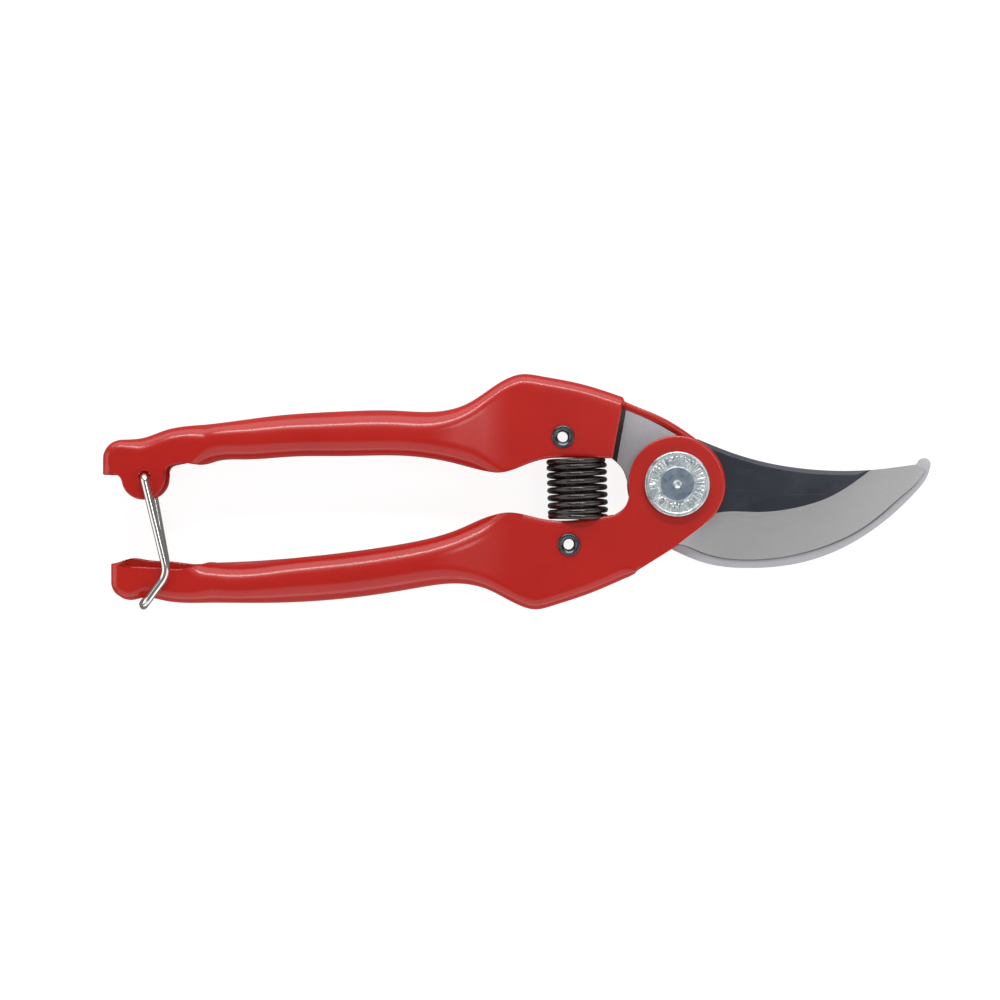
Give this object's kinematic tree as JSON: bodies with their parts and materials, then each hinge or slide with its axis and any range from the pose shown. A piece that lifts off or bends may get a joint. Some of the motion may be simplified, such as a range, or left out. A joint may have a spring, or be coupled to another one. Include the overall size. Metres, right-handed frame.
{
  "type": "bypass pruner",
  "caption": "Hand pruner with pressed channel handles, a curved bypass blade over a blunt hook, a coil return spring and a wire lock bail, closed and latched.",
  "frame": {"origin": "on the pivot axis, at the outer flat face of the pivot nut, which the tool lies on", "axes": "+X towards the blade tip, +Y from the lower handle to the upper handle, +Z along the pivot towards the bolt's broad head"},
  "size_m": [0.1908, 0.0543, 0.0175],
  "materials": {
    "handle_coating": "glossy red enamel",
    "blade_coating": "satin dark low-friction coating with a bare ground edge",
    "bare_steel": "satin",
    "plated_steel": "satin plate",
    "dark_rivet": "dark burnished",
    "black_spring": "black oxide",
    "bright_wire": "drawn bright wire"
  },
  "bodies": {
    "lower_half": {"lower_handle": "handle_coating", "cutting_blade": "blade_coating", "pivot_bolt": "plated_steel", "pivot_nut": "plated_steel", "pivot_washer": "plated_steel", "lower_blade_rivet": "dark_rivet", "return_spring": "black_spring"},
    "upper_half": {"upper_handle": "handle_coating", "counter_blade": "bare_steel", "upper_blade_rivet": "dark_rivet"},
    "bail": {"lock_bail": "bright_wire"}
  },
  "joints": [
    {"name": "pivot", "type": "hinge", "parent": "lower_half", "child": "upper_half", "pos_m": [0, 0, 0.00882], "axis": [0, 0, -1], "range_deg": [0, 34], "deforming": ["return_spring"]},
    {"name": "bail_hinge", "type": "hinge", "parent": "upper_half", "child": "bail", "pos_m": [-0.1222, 0.0016, 0.00882], "axis": [0, 0, -1], "range_deg": [0, 170]}
  ]
}
